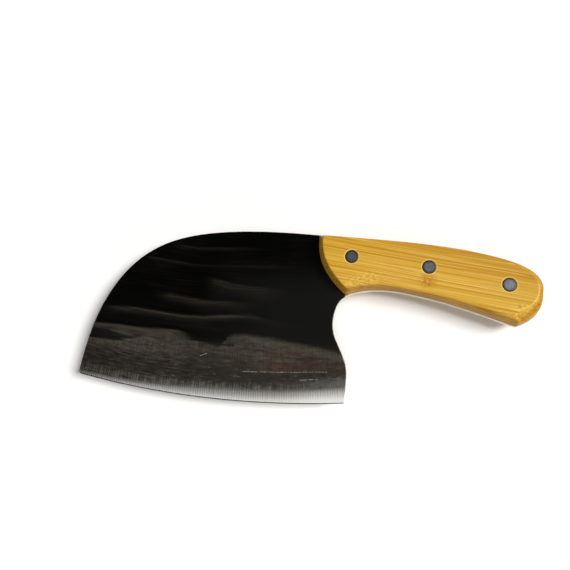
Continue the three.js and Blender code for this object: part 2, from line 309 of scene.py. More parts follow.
blade = {
    "tipThickness": 2.8, "taperLead": 2,
    "grindHeight": 31, "grindSkew": 2.5, "grindBlend": 0.07,
    "bevelHeight": 7.5, "bevelAngle": 5.85, "bevelBlend": 0.16,
    "honeHeight": 0.6, "honeAngle": 9, "honeBlend": 0.01, "edgeWidth": 0.1,
    "ease": 0.35, "easeMost": 0.45,  # rounding of the rim, and the most of it for each half thickness
    "rimAngles": (30, 60, 90), "wallShares": (0.15, 0.85),  # rings over the rounding, and down the flat rim
    "rows": (6, 22, 34, 30), "rowKnots": (0, 0.012, 0.095, 0.36), "collarRows": 40,
    "columns": (6, 220, 14), "columnKnots": (0, 0.02, 0.96, 1),
    "tangColumns": (4, 60, 4), "tangKnots": (0, 0.05, 0.95, 1), "crownSplit": 60,
    "streaks": [  # forged waves: height, how bright the crest is rubbed (partly a painted highlight), reach above and below the crest, crest line
        (0.14, 0.28, 0.5, 6.0,
         [(-103, -24.6), (-98.6, -25.2), (-84.4, -26.3), (-73.4, -26.0), (-59.1, -24.7), (-48, -23.4)]),
        (0.14, 0.32, 0.5, 3.7,
         [(-131, -39.8), (-124.2, -39.5), (-110.5, -39.0), (-99.2, -39.0), (-83, -36.8), (-60, -34)]),
        (0.10, 0.42, 0.7, 1.8,
         [(-166, -53.8), (-154.6, -53.2), (-138.5, -51.4), (-121.2, -50.5), (-107.8, -49.6), (-97, -48.2),
          (-81.3, -44.3), (-70.9, -42.2), (-56.7, -42.9), (-36, -41.6)]),
        (0.10, 0.54, 0.8, 2.5, [(-176, -66.2), (-160.9, -65.0), (-150, -63.6), (-138, -62.2)]),
        (0.10, 0.54, 0.8, 4.8, [(-152, -63.9), (-135.5, -62.6), (-110, -59.1), (-94, -60.6)]),
        (0.04, 0.36, 0.4, 0.8, [(-153, -66.4), (-145.7, -66.4), (-140.5, -66.7), (-132, -67.0)]),
        (0.10, 0.24, 0.5, 1.4, [(-128, -10.2), (-106.6, -9.0), (-76.3, -3.7), (-66, -2.4)]),
        (0.10, 0.24, 0.5, 1.4, [(-142, -20.4), (-135.2, -19.8), (-115.4, -19.5), (-104, -19.6)]),
        (0.09, 0.19, 0.4, 1.0, [(-116, -20.6), (-90, -16.6), (-56.1, -11.2), (-44, -9.6)]),
    ],
    "fadeIn": 0.18, "fadeOut": 0.4,  # shares of a streak over which its two ends fade
    "waveAbove": 1.6, "waveSpare": 0.6,  # the wave's reach above the crest, and past the rubbing below it
    "backShift": (11, 5),  # the other side's streaks lie elsewhere by this much
    "ripples": 70, "rippleX": (-160, -20), "rippleY": (-70, 12), "rippleHeading": (5, 4),
    "rippleReach": (14, 42), "rippleWidth": (1.6, 4.0), "rippleHeight": 0.03, "seed": 11,
    "rippleFaint": 0.25, "waveEdge": (-6, 5),  # ripples left in the grind, and where the waves begin
    "calm": 0.06,  # share of the blade before the handle where the waves die out
    "skinLine": [  # where the forged skin ends and the grind begins
        (-172, -74.6), (-162.9, -74.2), (-155.4, -73.3), (-145.9, -72.5), (-134.8, -68.7), (-125.8, -64.7),
        (-117.0, -62.3), (-104.7, -62.7), (-98.4, -63.8), (-91.8, -64.4), (-86.0, -64.6), (-83.2, -63.9),
        (-80.6, -57.8), (-77.5, -55.9), (-70.0, -54.3), (-64.4, -54.0), (-47.2, -53.1), (-31.9, -53.2),
        (-17.6, -53.2), (-6, -52.6),
    ],
    "skinSteps": 600, "skinReach": 9,  # steps along the skin's line, and how many of them round it
}

honeSlope = math.tan(math.radians(blade["honeAngle"]))
bevelSlope = math.tan(math.radians(blade["bevelAngle"]))
honeHalf = blade["edgeWidth"] / 2 + blade["honeHeight"] * honeSlope
bevelHalf = honeHalf + (blade["bevelHeight"] - blade["honeHeight"]) * bevelSlope
grindSlope = (tangHalf - bevelHalf) / (blade["grindHeight"] - blade["bevelHeight"])
skew = math.radians(blade["grindSkew"])
skewTurn = np.array([[math.cos(skew), math.sin(skew)], [-math.sin(skew), math.cos(skew)]])
grindCentre = heelPlace + skewTurn @ (edgeCentre - heelPlace)
taperStart = places["shoulder"][0] - blade["taperLead"]
taperSlope = (tangHalf - blade["tipThickness"] / 2) / (taperStart - tipPlace[0])


def softLeast(first, second, blend):
    # the lesser of two, their crease rounded over about this much
    share = np.clip(0.5 + 0.5 * (second - first) / blend, 0, 1)
    return second + (first - second) * share - blend * share * (1 - share)


def riseAbove(centre, spots):
    return edge["radius"] - np.linalg.norm(spots - centre, axis=-1)


def grindAndBevel(spots):
    # half thickness under the long grind and under the bevel, each a straight slope above the edge
    grind = bevelHalf + (riseAbove(grindCentre, spots) - blade["bevelHeight"]) * grindSlope
    bevel = bevelHalf + (riseAbove(edgeCentre, spots) - blade["bevelHeight"]) * bevelSlope
    return grind, bevel


def halfThickness(spots):
    # the least of taper, long grind, bevel and hone
    grind, bevel = grindAndBevel(spots)
    hone = honeHalf + (riseAbove(edgeCentre, spots) - blade["honeHeight"]) * honeSlope
    taper = tangHalf + taperSlope * np.minimum(spots[..., 0] - taperStart, 0)
    ground = softLeast(softLeast(grind, bevel, blade["bevelBlend"]), hone, blade["honeBlend"])
    return np.where(spots[..., 0] > places["heel"][0], taper, softLeast(taper, ground, blade["grindBlend"]))


def bevelRise(spots):
    # millimetres above the line where the bevel meets the long grind
    grind, bevel = grindAndBevel(spots)
    return (bevel - grind) / (bevelSlope - grindSlope)


def skinRise(spots):
    # millimetres above the forged skin's lower edge, a smooth curve through its points
    line = np.array(blade["skinLine"], float)
    x = np.linspace(line[0, 0], line[-1, 0], blade["skinSteps"])
    y = np.interp(x, line[:, 0], line[:, 1])
    kernel = np.hanning(2 * blade["skinReach"] + 1)
    y = np.convolve(np.pad(y, blade["skinReach"], mode="edge"), kernel / kernel.sum(), mode="valid")
    return spots[..., 1] - np.interp(spots[..., 0], x, y)


def streakFields(spots):
    # each streak is a crest line that fades at its ends, a narrow bell above and a wider one below
    waves, worn = np.zeros(spots.shape[:-1]), np.zeros(spots.shape[:-1])
    x, y = spots[..., 0], spots[..., 1]
    for height, rubbed, above, below, crest in blade["streaks"]:
        line = np.array(crest, float)
        start, end = line[0, 0], line[-1, 0]
        away = y - np.interp(x, line[:, 0], line[:, 1])
        fade = smooth(x, start, start + blade["fadeIn"] * (end - start))
        fade = fade * smooth(-x, -end, blade["fadeOut"] * (end - start) - end)
        reach = np.where(away > 0, blade["waveAbove"], below + blade["waveSpare"])
        waves += height * fade * np.exp(-(away / reach) ** 2)
        # the rubbed crest, partly a painted highlight standing in for the waves' reflections
        worn += rubbed * fade * np.exp(-(away / np.where(away > 0, above, below)) ** 2)
    return waves, np.clip(worn, 0, 1)


def ripples(spots, seed):
    # short low ridges scattered along the blade: a bell across each crest, a rounded window along it
    rng = np.random.default_rng(seed)
    waves = np.zeros(spots.shape[:-1])
    for ridge in range(blade["ripples"]):
        middle = np.array([rng.uniform(*blade["rippleX"]), rng.uniform(*blade["rippleY"])])
        along = heading(rng.normal(*blade["rippleHeading"]))
        reach = rng.uniform(*blade["rippleReach"])
        width = rng.uniform(*blade["rippleWidth"])
        height = rng.normal(0, blade["rippleHeight"])
        away = spots - middle
        share = np.clip(away @ along / reach, -1, 1)
        across = away @ np.array([-along[1], along[0]])
        waves += height * np.cos(share * np.pi / 2) ** 2 * np.exp(-(across / width) ** 2 / 2)
    return waves


def bladePlan():
    # the side view: blade and tang, two patches that meet at the handle's front, drawn in by the ease
    lowerRight = chain(heelCurve, flareCurve, choilCurve)
    upperRight = frontCurve[::-1]
    collarShare = lengthOf(lowerRight) / (lengthOf(lowerRight) + lengthOf(upperRight))
    collarRow = sum(blade["rows"])
    u = spread(blade["columnKnots"], blade["columns"])
    v = spread([*blade["rowKnots"], collarShare], blade["rows"])[:-1]
    v = np.concatenate([v, np.linspace(collarShare, 1, blade["collarRows"] + 1)])
    t = spread(blade["tangKnots"], blade["tangColumns"])
    w = (v[collarRow:] - collarShare) / (1 - collarShare)

    tipMiddle, split = edge["tipSteps"] // 2, blade["crownSplit"]
    bottom = walk(chain(tipCurve[tipMiddle:], edgeCurve), u)
    left = walk(chain(tipCurve[tipMiddle::-1], noseCurve[::-1]), v)
    top = walk(spineCurve[::-1], u)
    right = walk(lowerRight, v[:collarRow + 1] / collarShare)
    front = walk(upperRight, w)
    under = walk(chain(bellyCurve, palmCurve), t)
    rear = walk(chain(buttCurve, crownCurve[:split + 1]), w)
    over = walk(chain(topCurve[::-1], crownCurve[:split - 1:-1]), t)

    sides = [bottom, right, under, rear, over[::-1], top[::-1], left[::-1]]
    loop = np.concatenate([side[:-1] for side in sides])
    inward = leftOf(np.roll(loop, -1, axis=0) - np.roll(loop, 1, axis=0))
    ease = np.minimum(blade["ease"], blade["easeMost"] * halfThickness(loop))[:, None]
    eased = loop + inward * ease
    closed = np.concatenate([eased, eased[:1]])
    bends = np.concatenate([[0], np.cumsum([len(side) - 1 for side in sides])])
    bottom, right, under, rear, over, top, left = [closed[a:b + 1] for a, b in zip(bends[:-1], bends[1:])]
    over, top, left = over[::-1], top[::-1], left[::-1]
    front = front + (1 - w)[:, None] * (right[-1] - front[0]) + w[:, None] * (top[-1] - front[-1])

    bladeGrid = patch(bottom, top, left, np.concatenate([right, front[1:]]), u, v)
    tangGrid = patch(under, over, front, rear, t, w)
    bladeIndex = np.arange(len(v) * len(u)).reshape(len(v), -1)
    fresh = bladeIndex.size + np.arange(len(w) * (len(t) - 1)).reshape(len(w), -1)
    tangIndex = np.column_stack([bladeIndex[collarRow:, -1], fresh])
    spots = np.concatenate([bladeGrid.reshape(-1, 2), tangGrid[:, 1:].reshape(-1, 2)])
    faces = np.concatenate([gridFaces(bladeIndex), gridFaces(tangIndex)])
    rim = np.concatenate([
        bladeIndex[0, :-1], bladeIndex[:collarRow, -1], tangIndex[0, :-1], tangIndex[:-1, -1],
        tangIndex[-1, :0:-1], bladeIndex[-1, :0:-1], bladeIndex[:0:-1, 0],
    ])
    clear = np.pad(np.tile(smooth(1 - u, 0, blade["calm"]), len(v)), (0, fresh.size))
    choil, tang = np.arange(bends[1], bends[2]), np.arange(bends[2], bends[5])
    return SimpleNamespace(spots=spots, faces=faces, rim=rim, loop=loop, inward=inward, ease=ease,
                           clear=clear, choil=choil, tang=tang)


def bladeRings(plan, upper, lower):
    # rings from the upper side down to the lower one: a quarter round, the flat rim, and the round again
    high, low = [], []
    for angle in np.radians(blade["rimAngles"]):
        ring = plan.loop + plan.inward * (plan.ease * (1 - math.sin(angle)))
        drop = plan.ease[:, 0] * (1 - math.cos(angle))
        high.append(np.column_stack([ring, upper[plan.rim, 2] - drop]))
        low.insert(0, np.column_stack([ring, lower[plan.rim, 2] + drop]))
    wall = [high[-1] + (low[0] - high[-1]) * share for share in blade["wallShares"]]
    return high + wall + low


def bladeSurface():
    # the plan raised by half the thickness and the forging, its other side, and the rim's rings between
    plan = bladePlan()
    spots, count = plan.spots, len(plan.spots)
    half = halfThickness(spots)
    skin = smooth(skinRise(spots), *blade["waveEdge"])
    rippled = blade["rippleFaint"] + (1 - blade["rippleFaint"]) * skin
    waves, worn = streakFields(spots)
    backWaves, backWornHighlight = streakFields(spots + blade["backShift"])
    above = plan.clear * (rippled * ripples(spots, blade["seed"]) + skin * waves)
    below = plan.clear * (rippled * ripples(spots, blade["seed"] + 1) + skin * backWaves)
    upper = np.column_stack([spots, midZ + half + above])
    lower = np.column_stack([spots, midZ - half - below])
    rings = bladeRings(plan, upper, lower)
    points = np.concatenate([upper, lower, *rings])
    ringIndex = 2 * count + np.arange(len(rings) * len(plan.loop)).reshape(len(rings), -1)
    walls = loopFaces(np.concatenate([plan.rim[None], ringIndex, plan.rim[None] + count]))
    faces = np.concatenate([plan.faces, plan.faces[:, ::-1] + count, walls])

    bare = np.zeros(len(points))  # 1 where the rim is filed bright, all over at the choil and the tang
    rounds, tangRim = len(blade["rimAngles"]), plan.rim[plan.tang]
    bare[ringIndex[rounds:-rounds]] = 1
    bare[ringIndex[1:-1, plan.choil]] = 1
    bare[ringIndex[:, plan.tang]] = bare[tangRim] = bare[tangRim + count] = 1
    flat = points[:, :2]
    values = {
        "edgeRun": (edgeAngle(flat) - edgeStart) * edge["radius"],
        "edgeRise": riseAbove(edgeCentre, flat),
        "bevelRise": bevelRise(flat),
        "skinRise": skinRise(flat),
        "worn": np.concatenate([worn, backWornHighlight, np.zeros(ringIndex.size)]),
        "bare": bare,
    }
    return points, faces.tolist(), values


# The blade's finish

steel = {
    "skin": (0.0007, 0.0007, 0.0006), "skinBrown": (0.0034, 0.0030, 0.0024),
    # a painted sheen for the skin's middle, and the rubbed crests' tone, partly a painted highlight
    "skinPaintedSheen": (0.0068, 0.0068, 0.0062), "skinIor": 1.42, "worn": (0.17, 0.148, 0.112),
    "olive": (0.215, 0.19, 0.135), "dark": (0.052, 0.043, 0.037), "red": (0.152, 0.072, 0.053),
    "grey": (0.34, 0.33, 0.30), "soot": (0.022, 0.019, 0.016),
    "bevel": (0.97, 0.965, 0.93), "bevelShade": (0.21, 0.207, 0.20), "hone": (0.035, 0.033, 0.032),
    # the filed rim's tones are tinted warm as a painted reflection of the wood
    "rim": (0.75, 0.715, 0.645), "rimShade": (0.59, 0.54, 0.45),
    "noises": {  # cycles per mm along the edge, up from it and through the plate, shift, detail, roughness
        "brushed": (1.6, 0.05, 0.2, 0, 4, 0.7),  # grinding marks, square to the edge
        "fine": (5.5, 0.12, 0.2, 0, 2, 0.55),
        "lengthwise": (0.03, 1.3, 0.2, 0, 4, 0.65),  # rubbing marks along the blade
        "flames": (0.035, 0.5, 0.1, 0, 5, 0.62),
        "clouds": (0.035, 0.12, 0.1, 0, 3, 0.55),
        "scuffs": (0.24, 0.8, 0.1, 0, 3, 0.55),
        "smears": (0.06, 0.40, 0.1, 7, 4, 0.6),
        "patches": (0.20, 0.55, 0.1, 3, 3, 0.6),
        "nicks": (0.13, 1.1, 0.1, 5, 3, 0.5),
        "grit": (1.1, 1.1, 1.0, 0, 2, 0.55),
    },
    "scratches": [  # start, end, half width
        ((-68.2, -73.4), (-45.3, -68.9), 0.22), ((-46, -69.1), (-23.5, -64.0), 0.20),
        ((-93.8, -70.0), (-90.0, -67.8), 0.30), ((-36, -71.4), (-26.2, -68.8), 0.30),
        ((-22.6, -63.9), (-21.9, -63.5), 0.45),
    ],
    "wisps": [((-84, -61.6), (-75.5, -60.0), 0.9)],  # skin left in the grind, in the same form
    "strokeEnd": 0.4, "strokeSway": 1.2, "strokeCore": 0.3,
}


def steelFields(s):
    # a spot's place on the blade, the noises that break up its finish, and where each finish lies
    x, y, z = s.place()
    f = SimpleNamespace(x=x, y=y, z=z, run=s.value("edgeRun"), rise=s.value("edgeRise"),
                        overBevel=s.value("bevelRise"), overSkin=s.value("skinRise"),
                        worn=s.value("worn"), bare=s.value("bare"))
    for label, (along, up, through, shift, detail, rough) in steel["noises"].items():
        setattr(f, label, s.noise(f.run * along, f.rise * up, z * through + shift, detail, rough))
    f.filed = s.noise(x * 0.10, y * 0.10, z * 3.0)  # filing marks along the tang's edge
    f.ridged = s.node("TexWave", {"wave_type": "BANDS", "bands_direction": "X", "wave_profile": "SIN"},
                      {"Vector": s.vector(f.run, f.rise * 0.06, 0.0), "Scale": 0.235, "Distortion": 2.2,
                       "Detail": 2.0, "Detail Scale": 1.4})

    ragged = f.overSkin * (1 + s.step(f.run, 45, 20) * 0.8)  # sharper at the tip, less ragged to the heel
    ragged = ragged + (f.flames - 0.5) * (10 - s.step(f.run, 85, 105) * 7)
    ragged = ragged + (f.lengthwise - 0.5) * 3.5 + (f.brushed - 0.5) * 1.2
    f.skin = s.step(ragged, -3.4, 2.6)
    broken = ((f.flames - 0.5) * 0.8 + (f.lengthwise - 0.5) * 0.45) * s.step(f.worn, 0.02, 0.3)
    f.rubbed = s.step(f.worn + broken, 0.14, 0.95)
    lifted = f.overBevel + s.step(f.run, 85, 20) * 2.2  # the bevel is lower towards the tip
    f.bevel = s.step(lifted + (f.brushed - 0.5) * 3.4 + (f.grit - 0.5) * 0.8, 1.6, -1.4)
    f.hone = s.step(f.rise, 0.62, 0.42)
    f.heelward = s.step(f.run, 118, 156)
    # grinding marks, plus a painted highlight lower down and towards the heel
    f.combed = s.step(f.ridged * 0.32 + f.brushed * 0.8 - f.overBevel * 0.06 + f.heelward * 0.25, 0.38, 1.15)
    return f


def stroke(s, f, start, end, half):
    # 1 along the line from start to end on the upper side, 0 past its half width
    length = math.dist(start, end)
    ux, uy = (end[0] - start[0]) / length, (end[1] - start[1]) / length
    fade = steel["strokeEnd"]
    along = (f.x - start[0]) * ux + (f.y - start[1]) * uy
    aside = (f.y - start[1]) * ux - (f.x - start[0]) * uy + (f.clouds - 0.5) * steel["strokeSway"]
    reach = s.step(along, -fade, fade) * s.step(along, length + fade, length - fade)
    line = s.step(aside.math("ABSOLUTE"), half, half * steel["strokeCore"])
    return line * reach * s.step(f.z, midZ, midZ + 0.1)


def groundTone(s, f):
    # the long grind: olive steel with darker, redder and greyer marks
    run, rise, overBevel, overSkin = f.run, f.rise, f.overBevel, f.overSkin
    clouds, scuffs, brushed = f.clouds - 0.5, f.scuffs - 0.5, f.brushed - 0.5
    lowDown = s.step(rise + clouds * 12 + scuffs * 9, 22.0, 14.0)
    midway = s.step(run + clouds * 60, 25, 75) * s.step(run, 128, 92)
    redness = s.step(run, 104, 120) * s.step(rise, 14, 20) * s.step(overSkin, -1.5, -5)
    redness = redness * s.step(f.clouds + scuffs * 0.6, 0.34, 0.58)
    dashes = s.step(overBevel - f.heelward * 3.5 + scuffs * 6, 5.5, 0.2)
    dashes = dashes * s.step(f.brushed + (f.fine - 0.5) * 0.4, 0.40, 0.64)
    tipward = s.step(run, 95, 60) * s.step(rise, 24, 18)
    return s.layers(steel["olive"], steel, [
        (s.step(f.scuffs + brushed * 0.3, 0.40, 0.68) * 0.6, "dark"),
        (lowDown * 0.85, "dark"),
        (midway * (0.8 - s.step(rise, 21, 28) * 0.35), "dark"),
        (redness * 0.85, "red"),
        (s.step(f.smears, 0.42, 0.72) * 0.6, "dark"),
        (s.step(f.brushed + (f.fine - 0.5) * 0.3, 0.46, 0.62) * 0.45, "dark"),
        (s.step(f.smears, 0.44, 0.28) * 0.10, "grey"),
        (dashes * 0.7, "grey"),
        (s.step(f.scuffs + (f.lengthwise - 0.5) * 0.5, 0.66, 0.80) * 0.4, "grey"),
        (s.step(run, 100, 135) * 0.36 + f.heelward * 0.22, "dark"),
        (f.heelward * s.step(overBevel + scuffs * 8, 8, 3) * 0.4, "grey"),
        (s.step(overSkin, -4.5, -1.5) * s.step(run, 82, 96) * 0.35, "olive"),
        (s.step(f.nicks, 0.54, 0.70) * tipward * 0.2, "grey"),
        (s.step(f.nicks, 0.50, 0.34) * tipward * 0.7, "soot"),
        (s.step(f.patches, 0.50, 0.70) * 0.42, "soot"),
        (s.step(f.patches, 0.42, 0.26) * 0.22, "grey"),
        *[(stroke(s, f, *line) * s.step(f.flames, 0.36, 0.56) * 0.8, "soot") for line in steel["wisps"]],
        *[(stroke(s, f, *line) * s.step(f.grit, 0.36, 0.60) * 0.55, "bevel") for line in steel["scratches"]],
    ])


def skinTone(s, f):
    # the forged skin: near black, browner in streaks, with a painted sheen in the middle and rubbed bright
    # on the crests, partly a painted highlight
    clouds = f.clouds - 0.5
    # painted sheen: a broad lighter band across the middle of the skin
    paintedSheen = s.step(f.run + clouds * 50, 55, 120) * s.step(f.rise, 84, 58)
    return s.layers(steel["skin"], steel, [
        (s.step(f.lengthwise + clouds * 0.6, 0.45, 0.8), "skinBrown"),
        (paintedSheen * 0.85, "skinPaintedSheen"),
        # rubbed crests, partly a painted highlight
        (f.worn * 0.12, "worn"),
        (f.rubbed * 0.42, "worn"),
    ])


def bevelTone(s, f):
    # the bevel: bright at both ends and low down, partly real polish and partly a painted highlight, combed
    # by its grinding
    polishAndHighlight = s.step(f.run, 60, 10) * 0.3 + s.step(f.run, 112, 150) * 0.24
    polishAndHighlight = polishAndHighlight + s.step(f.overBevel, -1.5, -6.0) * 0.46
    return s.mix(f.combed * 0.35 + polishAndHighlight, steel["bevelShade"], steel["bevel"])


def forgedSteel():
    s = Sheet(bpy.data.materials.new("forgedSteel"))
    f = steelFields(s)
    colour = s.mix(f.skin, groundTone(s, f), skinTone(s, f))
    colour = s.mix(f.bevel, colour, bevelTone(s, f))
    colour = s.mix(f.hone, colour, steel["hone"])
    # filed rim, tinted warm as a painted reflection of the wood
    filedTone = s.mix(s.step(f.filed, 0.38, 0.66), steel["rim"], steel["rimShade"])
    colour = s.mix(f.bare * (1 - f.hone), colour, filedTone)

    satin = 0.31 + f.scuffs * 0.06 + f.brushed * 0.05
    gloss = 0.12 + f.lengthwise * 0.06 + s.step(f.grit, 0.55, 0.8) * 0.03 + f.rubbed * 0.08
    rough = satin + (gloss - satin) * f.skin
    rough = rough + (0.24 + f.combed * 0.08 - rough) * f.bevel
    rough = rough + (0.30 + f.filed * 0.12 - rough) * f.bare
    covered = f.skin * (1 - f.bevel) * (1 - f.bare) * (1 - f.rubbed * 0.5)
    metal = (1 - covered) * (1 - f.bare * 0.3)
    marks = (f.brushed * 0.020 + f.fine * 0.008) * (1 - f.skin)
    marks = marks + (f.lengthwise * 0.010 + f.grit * 0.003) * f.skin + f.ridged * f.bevel * 0.008
    s.set({"Base Color": colour, "Roughness": rough, "Metallic": metal, "IOR": steel["skinIor"],
           "Normal": s.bump(marks, 0.6)})
    return s.holder


points, faces, values = bladeSurface()
forgedBlade = makePiece("forgedBlade", points, faces, forgedSteel(), "blade", values)
print("blade:", len(forgedBlade.data.polygons), "faces")


# Scales: rings lean in from the tang and ease over to the flat face, which is a patch inside the last ring

scale = {
    "side": (1.8, 0.6, 0.9, 0.0),  # lean, ease over the face, fall down the side, crispness of the facet
    "front": (2.9, 0.5, 0.8, 0.0),
    "roll": (2.7, 4.4, 1.5, 0.6),  # the belly's two ends, sanded to a gentle slope
    "facet": (2.6, 5.2, 3.2, 1.0),  # the butt's lower corner
    "butt": (3.2, 2.3, 2.4, 0.3),
    "shy": 0.4,  # the tang's edge stands proud of the wood by this much
    "sideSteps": 11, "easeSteps": 22, "faceRings": (0.25, 0.55, 0.9),
    "leastTurn": 0.05, "probe": 2e-3,  # least turn of a corner, and the step that finds a direction
    "sanding": 14, "firstSanding": 4, "pull": 0.25,  # rounds of smoothing, and how far each goes
    "collarPull": 0.25, "collarReach": 9,  # more of it at the collar, for this many points
    "creaseWidth": 1.6, "facetMiddle": 16, "facetReach": 20, "buttMiddle": -6, "buttReach": 22,
    "paintedShadeFrom": (-1, 12), "paintedShadeTo": (13, 9),  # rings over the side where its painted shade fades, more at the butt
    # painted shade on the butt's facet, and the rings over which it fades
    "facetPaintedShade": 0.3, "facetFade": (-3, 1),
}
creaseLevel = scale["sideSteps"] + scale["easeSteps"]  # the ring where the eased edge meets the face
scaleRuns = [  # curve, points along it, finish at its start and at its end
    (frontCurve, 48, "front", "front"), (bellyCurve, 60, "roll", "side"), (palmCurve, 116, "side", "roll"),
    (buttCurve, 34, "facet", "butt"), (crownCurve, 72, "butt", "side"), (topCurve, 118, "side", "side"),
]
runCurves, runCounts, runStarts, runEnds = zip(*scaleRuns)
collarBend, toeBend, buttBend = np.cumsum(runCounts)[[0, 2, 3]]


def scaleSection(finish):
    # distance in from the outline and height above the tang: a leaning side, a quarter round flattened by
    # its crispness, and a little of the flat face
    lean, ease, fall, crisp = scale[finish]
    share = np.linspace(0, 1, scale["easeSteps"] + 1)
    angle = share * math.pi / 2
    rise = np.sin(angle) + (share - np.sin(angle)) * crisp
    run = 1 - np.cos(angle) + (share - 1 + np.cos(angle)) * crisp
    height = scaleHeight - fall * (1 - rise)
    over = np.stack([lean * height / scaleHeight + ease * run, height], axis=-1)
    foot = (scale["shy"], 0)
    side = np.linspace(0, 1, scale["sideSteps"] + 1)[:-1, None] * (over[0] - foot) + foot
    flat = over[-1] + np.array([(inset, 0) for inset in scale["faceRings"]])
    return np.concatenate([side, over, flat])


def cornerTrim(before, after, insetBefore, insetAfter):
    # how far a corner moves when the sides before and after it move in
    turn = before[0] * after[1] - before[1] * after[0]
    if abs(turn) < scale["leastTurn"]:
        return np.array([-after[1], after[0]]) * insetAfter[:, None]
    return (after * insetBefore[:, None] - before * insetAfter[:, None]) / turn


def scaleRings():
    # each run of the outline slides in by its section, shortened at its two corners
    starts = [unit(curve[1] - curve[0]) for curve in runCurves]
    ends = [unit(curve[-1] - curve[-2]) for curve in runCurves]
    firsts = [scaleSection(finish) for finish in runStarts]
    lasts = [scaleSection(finish) for finish in runEnds]
    corners = [
        cornerTrim(ends[k - 1], starts[k], lasts[k - 1][:, 0], firsts[k][:, 0])
        for k in range(len(scaleRuns))
    ]
    rings = []
    for k, (curve, count) in enumerate(zip(runCurves, runCounts)):
        first, last = firsts[k], lasts[k]
        share, length = np.arange(count) / count, lengthOf(curve)
        startTrim = corners[k] @ starts[k] / length
        endTrim = corners[(k + 1) % len(scaleRuns)] @ ends[k] / length
        run = share + startTrim[:, None] * (1 - share) + endTrim[:, None] * share
        section = first[:, None] + (last - first)[:, None] * share[None, :, None]
        along = walk(curve, run + scale["probe"]) - walk(curve, run - scale["probe"])
        place = walk(curve, run) + leftOf(along) * section[..., :1]
        place[:, 0] = curve[0] + corners[k]
        rings.append(np.concatenate([place, section[..., 1:]], axis=-1))
    return np.concatenate(rings, axis=1)


def sandedRings():
    # each point is pulled towards the mean of its neighbours, more with height and most at the collar
    rings = scaleRings()
    levels, count = rings.shape[:2]
    blunt = np.exp(-((np.arange(count) - collarBend) / scale["collarReach"]) ** 2)
    rub = (scale["pull"] + scale["collarPull"] * blunt)[None, :, None]
    pull = np.linspace(0, 1, levels)[:, None, None] ** 0.5 * rub
    for turn in range(scale["sanding"]):
        mean = (np.roll(rings, 1, axis=1) + np.roll(rings, -1, axis=1)) / 2
        rings = rings + (mean - rings) * pull
        if turn < scale["firstSanding"]:
            rings[1:-1] = rings[1:-1] * 0.5 + (rings[:-2] + rings[2:]) * 0.25
    return rings


def scaleTones(levels, count):
    # where the wood's crest is rubbed pale, partly a painted highlight, and where painted shade browns the
    # sides: bells along the outline and up the rings
    level, point = np.arange(levels), np.arange(count)
    facet = np.exp(-((point - toeBend - scale["facetMiddle"]) / scale["facetReach"]) ** 4)
    butt = np.exp(-((point - buttBend - scale["buttMiddle"]) / scale["buttReach"]) ** 4)
    crease = np.exp(-((level - creaseLevel) / scale["creaseWidth"]) ** 2)
    fades = (scale["paintedShadeFrom"], scale["paintedShadeTo"])
    low, high = [scale["sideSteps"] + plain + more * butt for plain, more in fades]
    # flank: painted shade over the lower rings of the side, and a little on the facet
    flank = 1 - smooth(level[:, None], low, high)
    facetSide = 1 - smooth(level - creaseLevel, *scale["facetFade"])
    flank = np.maximum(flank, scale["facetPaintedShade"] * np.outer(facetSide, facet))
    # ridge marks the facet's crest, pale from worn varnish and partly a painted highlight
    return {"ridge": np.outer(crease, facet).ravel(), "flank": flank.ravel()}


def scaleSurface(side):
    # side is 1 for the upper scale and -1 for its mirror image below
    rings = sandedRings()
    levels, count = rings.shape[:2]
    front = np.arange(collarBend, -1, -1)
    under = np.arange(collarBend, toeBend + 1)
    rear = np.arange(toeBend, toeBend + len(front))
    over = np.arange(count, rear[-1] - 1, -1) % count
    u, v = np.linspace(0, 1, len(under)), np.linspace(0, 1, len(front))
    caps, capIndex, made = [], [], levels * count
    for level in (0, levels - 1):
        ring = rings[level]
        grid = patch(ring[under], ring[over], ring[front], ring[rear], u, v)
        index = np.zeros(grid.shape[:2], int)
        borders = [level * count + border for border in (under, over, front, rear)]
        index[0], index[-1], index[:, 0], index[:, -1] = borders
        inner = grid[1:-1, 1:-1].reshape(-1, 3)
        index[1:-1, 1:-1] = made + np.arange(len(inner)).reshape(len(v) - 2, len(u) - 2)
        made += len(inner)
        caps.append(inner)
        capIndex.append(index)

    points = np.concatenate([rings.reshape(-1, 3), *caps])
    points[:, 2] = midZ + side * (tangHalf + points[:, 2])
    walls = loopFaces(np.arange(levels * count).reshape(levels, count)[::-1])
    faces = np.concatenate([walls, gridFaces(capIndex[0])[:, ::-1], gridFaces(capIndex[1])])
    tones = scaleTones(levels, count)
    values = {label: np.pad(tone, (0, len(points) - tone.size)) for label, tone in tones.items()}
    return points, faces[:, ::side].tolist(), values


# The rivets' sizes, and the holes for them

rivet = {
    "places": {"front": (-20.5, 0.0), "middle": (20.5, 1.8), "rear": (61.5, 0.0)},
    "head": 3.5, "headDepth": 1.6, "sunk": 0.1, "rim": 0.45, "rimDrop": 0.22, "rimSteps": 6,
    "pin": 1.6, "pinShort": 2.9, "pinChamfer": 0.2, "faceRings": (1.9, 0.9),
    "tube": 2.3, "tubeShort": 2.6, "bore": 1.65, "floor": 1.2,
    "seat": 3.65, "shank": 2.4, "seatFlare": 0.2, "cutPast": 2, "sides": 72,
}
seatDepth = rivet["sunk"] + rivet["headDepth"]
seatTop = handleTop - seatDepth


